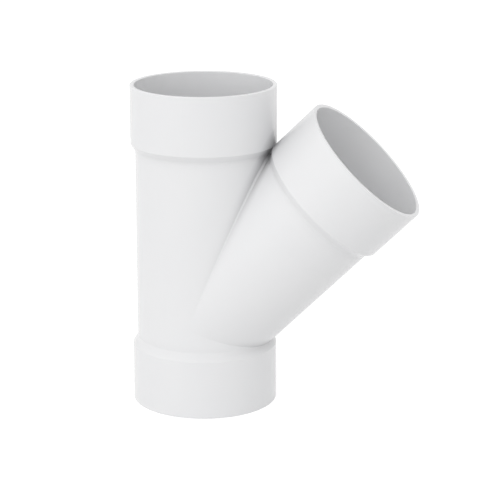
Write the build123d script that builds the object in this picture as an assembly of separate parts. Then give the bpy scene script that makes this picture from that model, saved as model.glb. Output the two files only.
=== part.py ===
from build123d import *
import os
from math import cos, radians, sin, tan

# A lateral wye for solvent-welded drainage pipe, injection moulded in one piece of rigid PVC.
# A straight run stands on its lower socket, and one branch of the same bore leaves it at 45
# degrees. Each of the three ends is a socket: a plain cylinder outside, and inside a wider
# bore that stops the pipe on a ledge.
#
# Everything is in millimetres. The origin is the centre of the lower socket's mouth, +Z is the
# axis of the run from its lower socket to its upper one, and the branch leans towards +X.

# The pipe, and how it sits in a socket
PIPE_DIAMETER = 110.0       # outside diameter of the pipe that is glued into each socket
SOCKET_CLEARANCE = 0.2      # gap round the pipe, on the radius
SOCKET_DEPTH = 48.0         # from a socket's mouth to its ledge
LEDGE_WIDTH = 3.65          # ledge that stops the pipe, about as wide as the pipe's wall

# The walls
SOCKET_WALL = 3.3
BODY_WALL = 3.2

# How the branch leaves the run
BRANCH_ANGLE = 45.0         # between the axis of the branch and the run's upper half
LOWER_LAND = 3.65           # plain bore between the lower ledge and the branch's opening
HUB_BITE = 0.7              # how far past first contact the two upper hubs run together
CREASE_ROUND = 1.5          # round in the sharp outside crease above the branch
WEB_THICKNESS = 6.0         # web that fills the crotch under the two hubs

# The outside of a socket, called its hub, and the shoulder down to the body
SHOULDER_LEAD = 1.0         # the shoulder starts this far before the ledge
SHOULDER_LENGTH = 6.0
SHOULDER_ROUND = 6.0        # hollow round where the shoulder runs out into the body

# How far rounds dive under the skin that they run into, so that faces cross cleanly
ROUND_SINK = 0.03           # round in the crease
ROUND_START = 5.0           # it starts this far in front of the crossing, under the skin
SHOULDER_SINK = 0.05        # hollow round at the foot of a shoulder

# Broken edges
RIM_BREAK = 0.4             # both edges of a socket's mouth
LEDGE_BREAK = 0.8           # inner edge of the ledge

# Where a turned face starts and ends, in degrees about its axis from +X. Outside, the seam
# runs through the two points where both creases fade out, and inside it stays clear of them.
OUTSIDE_SEAM = 90
INSIDE_SEAM = 180

# Radii
socket_radius = PIPE_DIAMETER / 2 + SOCKET_CLEARANCE
hub_radius = socket_radius + SOCKET_WALL
bore_radius = socket_radius - LEDGE_WIDTH
body_radius = bore_radius + BODY_WALL

# Lengths from the crossing of the two axes. Run and branch have one radius, so they meet in
# two planes that halve the angles between their axes. Above, the hubs start where their
# corners touch on that plane, less the bite. Below, the ledge clears the branch's opening.
half_angle = radians(BRANCH_ANGLE / 2)
hub_length = SOCKET_DEPTH - SHOULDER_LEAD
hub_start = hub_radius / tan(half_angle) - HUB_BITE
upper_arm = hub_start + hub_length
branch_arm = upper_arm
lower_arm = SOCKET_DEPTH + LOWER_LAND + bore_radius * tan(half_angle)

# Frames at the three mouths, each with its z axis pointing into the fitting. The model is made
# round the crossing, and moved onto its lower mouth at the end.
branch_frame = Rot(0, BRANCH_ANGLE, 0)
lower_mouth = Pos(0, 0, -lower_arm)
upper_mouth = Pos(0, 0, upper_arm) * Rot(180, 0, 0)
branch_mouth = branch_frame * Pos(0, 0, branch_arm) * Rot(180, 0, 0)
mouths = [lower_mouth, upper_mouth, branch_mouth]


def outline(corners):
    """The face inside (radius, height) corners that stand for one half of a turned shape."""
    return make_face(Polyline(*corners, close=True))


def turned(profile, seam):
    """The solid that a profile sweeps about Z, starting and ending at the seam's angle."""
    return revolve(Rot(0, 0, seam) * (Plane.XZ * profile), Axis.Z)


def crossing_bars(radius, seam):
    """Run and branch as two bars of one radius, which meet in two flat halving planes.

    Each bar ends halfway down a socket, where the hub or the socket's bore takes over.
    """
    lower_end = lower_arm - SOCKET_DEPTH / 2
    upper_end = upper_arm - SOCKET_DEPTH / 2
    branch_end = branch_arm - SOCKET_DEPTH / 2
    run = Pos(0, 0, -lower_end) * Rot(0, 0, seam) * upright_bar(radius, lower_end + upper_end)
    branch = Rot(0, 0, seam) * upright_bar(radius, branch_end)
    return run + branch_frame * branch


def upright_bar(radius, length):
    """A plain round bar that stands on the origin."""
    return Cylinder(radius, length, align=(Align.CENTER, Align.CENTER, Align.MIN))


def crease_fillet():
    """The fillet that a rolling ball leaves in the sharp crease above the branch.

    The crease is an ellipse in the plane that halves the gap between the bars, and so are
    the ball's path and the line through its two points of contact. The fillet is what the
    ball leaves of the slab inside that last ellipse. It is sized for bars ROUND_SINK
    smaller, so that it dives under their skin instead of ending in a feather edge.
    """
    radius = body_radius - ROUND_SINK
    path = radius + CREASE_ROUND
    contact = radius * sin(half_angle) + path * cos(half_angle) ** 2 / sin(half_angle)
    slab = extrude(Ellipse(contact, radius), CREASE_ROUND, both=True)
    slab = split(slab, Plane.YZ.offset(ROUND_START))
    ball_path = Edge.make_ellipse(path / sin(half_angle), path, start_angle=-90, end_angle=90)
    ball = Location((0, -path, 0)) * (Plane.YZ * Circle(CREASE_ROUND))
    return Rot(0, BRANCH_ANGLE / 2 - 90, 0) * (slab - sweep(ball, ball_path))


def body():
    """The outside between the hubs. The blunt crease under the branch stays a plain edge."""
    return crossing_bars(body_radius, OUTSIDE_SEAM) + crease_fillet()


def hub():
    """The outside of one socket from its mouth inwards, with the shoulder down to the body.

    The shoulder's foot lies SHOULDER_SINK under the body's skin.
    """
    foot_radius = body_radius - SHOULDER_SINK
    foot = hub_length + SHOULDER_LENGTH
    run_out = foot + SHOULDER_ROUND
    profile = outline([
        (0, 0),
        (hub_radius - RIM_BREAK, 0),
        (hub_radius, RIM_BREAK),
        (hub_radius, hub_length),
        (foot_radius, foot),
        (foot_radius, run_out),
        (0, run_out),
    ])
    shoulder_foot = profile.vertices().sort_by_distance((foot_radius, foot))[0]
    return turned(fillet(shoulder_foot, SHOULDER_ROUND), OUTSIDE_SEAM)


def socket_hollow():
    """The space inside one socket, from outside its mouth to inside the bore.

    Both broken edges are cones that run on past the mouth and into the bore.
    """
    profile = outline([
        (0, -RIM_BREAK),
        (socket_radius + 2 * RIM_BREAK, -RIM_BREAK),
        (socket_radius, RIM_BREAK),
        (socket_radius, SOCKET_DEPTH),
        (bore_radius + LEDGE_BREAK, SOCKET_DEPTH),
        (bore_radius - LEDGE_BREAK, SOCKET_DEPTH + 2 * LEDGE_BREAK),
        (0, SOCKET_DEPTH + 2 * LEDGE_BREAK),
    ])
    return turned(profile, INSIDE_SEAM)


def crotch_web():
    """A kite in the plane of the axes that closes the slit under the touching hubs.

    Its low corner is sunk in the crotch of the body, its top corner in the hubs where they
    run together, and its side corners in the middle of the run's and the branch's wall.
    """
    wall_middle = body_radius - BODY_WALL / 2
    low = wall_middle / sin(half_angle)
    top = hub_radius / sin(half_angle) - HUB_BITE / 2
    halving_frame = Rot(0, BRANCH_ANGLE / 2, 0)
    corners = [
        halving_frame * Pos(0, 0, low),
        Pos(wall_middle, 0, hub_start),
        halving_frame * Pos(0, 0, top),
        branch_frame * Pos(-wall_middle, 0, hub_start),
    ]
    kite = Face(Wire.make_polygon([corner.position for corner in corners]))
    return extrude(kite, WEB_THICKNESS / 2, both=True)


def wye_fitting():
    """The whole moulding: skin, hubs and web in one, less the bores and the sockets."""
    solid = body() + crotch_web()
    hollow = crossing_bars(bore_radius, INSIDE_SEAM)
    for mouth in mouths:
        solid += mouth * hub()
        hollow += mouth * socket_hollow()
    return Pos(0, 0, lower_arm) * (solid - hollow)


os.makedirs("parts", exist_ok=True)
export_step(wye_fitting(), "parts/wye_fitting.step")
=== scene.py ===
import math

import bpy
from mathutils import Matrix, Vector


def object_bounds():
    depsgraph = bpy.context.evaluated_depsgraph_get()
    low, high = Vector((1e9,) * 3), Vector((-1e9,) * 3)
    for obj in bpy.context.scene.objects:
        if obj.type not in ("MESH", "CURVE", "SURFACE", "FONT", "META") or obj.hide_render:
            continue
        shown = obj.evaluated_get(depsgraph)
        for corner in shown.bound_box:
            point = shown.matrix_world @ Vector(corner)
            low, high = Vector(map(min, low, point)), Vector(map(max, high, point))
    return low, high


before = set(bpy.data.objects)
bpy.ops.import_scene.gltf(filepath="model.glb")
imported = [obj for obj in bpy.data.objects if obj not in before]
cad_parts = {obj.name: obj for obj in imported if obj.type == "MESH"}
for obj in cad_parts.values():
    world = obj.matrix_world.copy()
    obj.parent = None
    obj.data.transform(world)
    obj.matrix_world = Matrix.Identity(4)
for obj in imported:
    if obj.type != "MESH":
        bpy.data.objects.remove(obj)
cad_low, cad_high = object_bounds()

# The camera looks across the plane of the two axes, from a little to the branch's side.
# Angles are in degrees, the lens in millimetres, and the rest in metres.
CAMERA_AZIMUTH = 13.675
CAMERA_ELEVATION = 15.478
CAMERA_DISTANCE = 1.5529
CAMERA_LENS = 137.98
AIM_HEIGHT = 0.130
AIM_RIGHT = 0.03696
AIM_UP = -0.00596

# The studio: a white sweep that looks white to the eye and in reflections. It gives a part of
# that as fill, more of it from the front left, and softboxes on that side add the rest.
SWEEP_WHITE = 1.0
SWEEP_FILL = 0.79
SWEEP_LEAN = 0.66           # what the brightest side adds to the fill
SWEEP_BRIGHT_SIDE = -31     # degrees to the camera's right
FLOOR_SIZE = 12.0
FLOOR_COLOUR = (0.80, 0.80, 0.80, 1.0)
FLOOR_GLOW = 0.86           # what the floor shows of the sweep's white
FLOOR_SHADE = 0.25          # what it shows of its own light and contact shadow
LIGHT_CENTRE = Vector((0.05, 0.0, 0.13))
LIGHT_DISTANCE = 2.2

# name: (degrees to the camera's right, degrees up, width in metres, height in metres, watts)
SOFTBOXES = {
    "left_wall": (-64, 12, 3.2, 2.0, 1.4),
    "left_key": (-35, 12, 1.6, 2.0, 1.6),
    "front_fill": (10, 20, 1.6, 1.6, 0.4),
}

# The finish of rigid PVC as it leaves the mould, and a grey of painted shade for its creases and hollows
PVC_WHITE = (0.800, 0.801, 0.806, 1.0)
PVC_COOL = (0.780, 0.783, 0.795, 1.0)
# painted shade: the grey mixed into the colour in creases and hollows, where shade falls
PVC_PAINTED_SHADE = (0.45, 0.45, 0.46, 1.0)
PVC_IOR = 1.53


def direction(azimuth, elevation):
    """A unit vector by degrees to the right of -Y and degrees up."""
    azimuth = math.radians(azimuth)
    elevation = math.radians(elevation)
    level = math.cos(elevation)
    return Vector((math.sin(azimuth) * level, -math.cos(azimuth) * level, math.sin(elevation)))


def make_camera():
    """The camera, aimed a little to the right of the run."""
    back = direction(CAMERA_AZIMUTH, CAMERA_ELEVATION)
    right = Vector((math.cos(math.radians(CAMERA_AZIMUTH)), math.sin(math.radians(CAMERA_AZIMUTH)), 0.0))
    up = back.cross(right)
    data = bpy.data.cameras.new("camera")
    data.lens = CAMERA_LENS
    data.sensor_width = 36.0
    data.clip_start = 0.05
    data.clip_end = 50.0
    camera = bpy.data.objects.new("camera", data)
    bpy.context.scene.collection.objects.link(camera)
    aim = Vector((0.0, 0.0, AIM_HEIGHT)) + right * AIM_RIGHT + up * AIM_UP
    turn = Matrix((right, up, back)).transposed()
    camera.matrix_world = Matrix.Translation(aim + back * CAMERA_DISTANCE) @ turn.to_4x4()
    bpy.context.scene.camera = camera


def add_node(tree, kind, **settings):
    """A new node in a tree, with its settings and the values of its named inputs."""
    node = tree.nodes.new(kind)
    for name, value in settings.items():
        if name in node.inputs:
            node.inputs[name].default_value = value
        else:
            setattr(node, name, value)
    return node


def new_group(name, inputs, outputs):
    """An empty shader node group: inputs are name: default, outputs are name: socket type."""
    group = bpy.data.node_groups.new(name, "ShaderNodeTree")
    for socket, value in inputs.items():
        new_socket = group.interface.new_socket(socket, in_out="INPUT", socket_type="NodeSocketFloat")
        new_socket.default_value = value
    for socket, kind in outputs.items():
        group.interface.new_socket(socket, in_out="OUTPUT", socket_type=kind)
    return group, group.nodes.new("NodeGroupInput"), group.nodes.new("NodeGroupOutput")


def moulding_mottle():
    """Faint clouding left by the melt as it fills the mould, from 0 to 1 round 0.5."""
    group, given, result = new_group(
        "moulding_mottle",
        {"Patches per Metre": 20.0, "Contrast": 1.0},
        {"Mottle": "NodeSocketFloat"},
    )
    place = add_node(group, "ShaderNodeTexCoord")
    noise = add_node(group, "ShaderNodeTexNoise", Detail=3.0, Roughness=0.55, Distortion=0.4)
    centred = add_node(group, "ShaderNodeMath", operation="SUBTRACT")
    centred.inputs[1].default_value = 0.5
    scaled = add_node(group, "ShaderNodeMath", operation="MULTIPLY_ADD", use_clamp=True)
    scaled.inputs[2].default_value = 0.5
    group.links.new(place.outputs["Object"], noise.inputs["Vector"])
    group.links.new(given.outputs["Patches per Metre"], noise.inputs["Scale"])
    group.links.new(noise.outputs["Fac"], centred.inputs[0])
    group.links.new(centred.outputs[0], scaled.inputs[0])
    group.links.new(given.outputs["Contrast"], scaled.inputs[1])
    group.links.new(scaled.outputs[0], result.inputs["Mottle"])
    return group


def painted_crease_shade():
    """A mask of painted shade, from ambient occlusion in the narrow hollows: 1 at the bottom of a crease
    and 0 in the open.
    """
    group, given, result = new_group(
        "painted_crease_shade",
        {"Reach": 0.01, "Strength": 1.0},
        {"Shade": "NodeSocketFloat"},
    )
    occlusion_for_painted_shade = add_node(group, "ShaderNodeAmbientOcclusion", samples=16, only_local=True)
    turned = add_node(group, "ShaderNodeMath", operation="SUBTRACT")
    turned.inputs[0].default_value = 1.0
    scaled = add_node(group, "ShaderNodeMath", operation="MULTIPLY", use_clamp=True)
    group.links.new(given.outputs["Reach"], occlusion_for_painted_shade.inputs["Distance"])
    group.links.new(occlusion_for_painted_shade.outputs["AO"], turned.inputs[1])
    group.links.new(turned.outputs[0], scaled.inputs[0])
    group.links.new(given.outputs["Strength"], scaled.inputs[1])
    group.links.new(scaled.outputs[0], result.inputs["Shade"])
    return group


def place_group(tree, group, values):
    """One use of a node group in a tree, with the values of its inputs by name."""
    node = tree.nodes.new("ShaderNodeGroup")
    node.node_tree = group
    for name, value in values.items():
        node.inputs[name].default_value = value
    return node


def white_pvc():
    """Rigid white PVC, between satin and gloss, with the mould's own fine grain, and painted shade that
    greys the colour in its creases and hollows.
    """
    material = bpy.data.materials.new("white_pvc_moulded")
    material.use_nodes = True
    tree = material.node_tree
    tree.nodes.clear()
    out = tree.nodes.new("ShaderNodeOutputMaterial")
    shader = add_node(tree, "ShaderNodeBsdfPrincipled", IOR=PVC_IOR)
    tree.links.new(shader.outputs["BSDF"], out.inputs["Surface"])

    mottle = moulding_mottle()
    clouds = place_group(tree, mottle, {"Patches per Metre": 14.0, "Contrast": 1.6})
    polish = place_group(tree, mottle, {"Patches per Metre": 30.0, "Contrast": 1.2})
    grain = place_group(tree, mottle, {"Patches per Metre": 220.0, "Contrast": 1.0})
    # painted shade: ambient occlusion greys the base colour, with a narrow reach in the creases and a
    # wide, weaker reach in the inner corners
    painted_shade_group = painted_crease_shade()
    crease_painted_shade = place_group(tree, painted_shade_group, {"Reach": 0.010, "Strength": 1.0})
    corner = place_group(tree, painted_shade_group, {"Reach": 0.060, "Strength": 0.25})

    body = add_node(tree, "ShaderNodeMix", data_type="RGBA")
    body.inputs[6].default_value = PVC_WHITE
    body.inputs[7].default_value = PVC_COOL
    # this mix paints the shade grey into the plastic's colour
    colour_with_painted_shade = add_node(tree, "ShaderNodeMix", data_type="RGBA")
    colour_with_painted_shade.inputs[7].default_value = PVC_PAINTED_SHADE
    tree.links.new(clouds.outputs["Mottle"], body.inputs[0])
    tree.links.new(body.outputs[2], colour_with_painted_shade.inputs[6])
    painted_shade_depth = add_node(tree, "ShaderNodeMath", operation="ADD", use_clamp=True)
    tree.links.new(crease_painted_shade.outputs["Shade"], painted_shade_depth.inputs[0])
    tree.links.new(corner.outputs["Shade"], painted_shade_depth.inputs[1])
    tree.links.new(painted_shade_depth.outputs[0], colour_with_painted_shade.inputs[0])
    tree.links.new(colour_with_painted_shade.outputs[2], shader.inputs["Base Color"])

    sheen = add_node(tree, "ShaderNodeMapRange")
    sheen.inputs["To Min"].default_value = 0.23
    sheen.inputs["To Max"].default_value = 0.26
    tree.links.new(polish.outputs["Mottle"], sheen.inputs["Value"])
    tree.links.new(sheen.outputs["Result"], shader.inputs["Roughness"])

    bump = add_node(tree, "ShaderNodeBump", Strength=0.15, Distance=0.00003)
    tree.links.new(grain.outputs["Mottle"], bump.inputs["Height"])
    tree.links.new(bump.outputs["Normal"], shader.inputs["Normal"])
    return material


def seen_white(tree, hidden, shown, out):
    """Shows one shader to the eye and in reflections, and another to the scattered light."""
    path = tree.nodes.new("ShaderNodeLightPath")
    either = add_node(tree, "ShaderNodeMath", operation="MAXIMUM")
    mix = tree.nodes.new("ShaderNodeMixShader")
    tree.links.new(path.outputs["Is Camera Ray"], either.inputs[0])
    tree.links.new(path.outputs["Is Glossy Ray"], either.inputs[1])
    tree.links.new(either.outputs[0], mix.inputs[0])
    tree.links.new(hidden, mix.inputs[1])
    tree.links.new(shown, mix.inputs[2])
    tree.links.new(mix.outputs[0], out)


def floor_paper():
    """Matt white paper that glows a little to the eye, so that it runs out into the sweep."""
    material = bpy.data.materials.new("floor_paper")
    material.use_nodes = True
    tree = material.node_tree
    tree.nodes.clear()
    out = tree.nodes.new("ShaderNodeOutputMaterial")
    paper = add_node(tree, "ShaderNodeBsdfDiffuse", Color=FLOOR_COLOUR)
    shade = add_node(tree, "ShaderNodeBsdfDiffuse", Color=(FLOOR_SHADE, FLOOR_SHADE, FLOOR_SHADE, 1.0))
    glow = add_node(tree, "ShaderNodeEmission", Strength=FLOOR_GLOW)
    shown = tree.nodes.new("ShaderNodeAddShader")
    tree.links.new(shade.outputs[0], shown.inputs[0])
    tree.links.new(glow.outputs[0], shown.inputs[1])
    seen_white(tree, paper.outputs[0], shown.outputs[0], out.inputs["Surface"])
    return material


def make_floor():
    """A plain floor under the fitting's lowest rim."""
    half = FLOOR_SIZE / 2
    level = cad_low.z
    corners = [(-half, -half, level), (half, -half, level), (half, half, level), (-half, half, level)]
    mesh = bpy.data.meshes.new("floor")
    mesh.from_pydata(corners, [], [(0, 1, 2, 3)])
    mesh.materials.append(floor_paper())
    floor = bpy.data.objects.new("floor", mesh)
    bpy.context.scene.collection.objects.link(floor)


def make_sweep():
    """The sweep round the studio, as the world: white to look at, and brighter on one side."""
    world = bpy.data.worlds.new("studio_sweep")
    bpy.context.scene.world = world
    world.use_nodes = True
    tree = world.node_tree
    tree.nodes.clear()
    out = tree.nodes.new("ShaderNodeOutputWorld")
    place = add_node(tree, "ShaderNodeTexCoord")
    facing = add_node(tree, "ShaderNodeVectorMath", operation="DOT_PRODUCT")
    facing.inputs[1].default_value = direction(CAMERA_AZIMUTH + SWEEP_BRIGHT_SIDE, 0)
    bright = add_node(tree, "ShaderNodeMath", operation="MAXIMUM")
    bright.inputs[1].default_value = 0.0
    strength = add_node(tree, "ShaderNodeMath", operation="MULTIPLY_ADD")
    strength.inputs[1].default_value = SWEEP_LEAN
    strength.inputs[2].default_value = SWEEP_FILL
    fill = add_node(tree, "ShaderNodeBackground", Color=(1, 1, 1, 1))
    tree.links.new(place.outputs["Generated"], facing.inputs[0])
    tree.links.new(facing.outputs["Value"], bright.inputs[0])
    tree.links.new(bright.outputs[0], strength.inputs[0])
    tree.links.new(strength.outputs[0], fill.inputs["Strength"])
    white = add_node(tree, "ShaderNodeBackground", Color=(1, 1, 1, 1), Strength=SWEEP_WHITE)
    seen_white(tree, fill.outputs[0], white.outputs[0], out.inputs["Surface"])


def make_softboxes():
    """Large soft lamps that all face the fitting."""
    for name, (azimuth, elevation, width, height, watts) in SOFTBOXES.items():
        towards = direction(CAMERA_AZIMUTH + azimuth, elevation)
        data = bpy.data.lights.new(name, "AREA")
        data.shape = "RECTANGLE"
        data.size = width
        data.size_y = height
        data.energy = watts
        box = bpy.data.objects.new(name, data)
        box.location = LIGHT_CENTRE + towards * LIGHT_DISTANCE
        box.rotation_euler = towards.to_track_quat("Z", "Y").to_euler()
        bpy.context.scene.collection.objects.link(box)


bpy.context.scene.view_settings.view_transform = "Standard"
make_camera()
make_sweep()
make_softboxes()
make_floor()
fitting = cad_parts["wye_fitting"]
fitting.data.materials[0] = white_pvc()
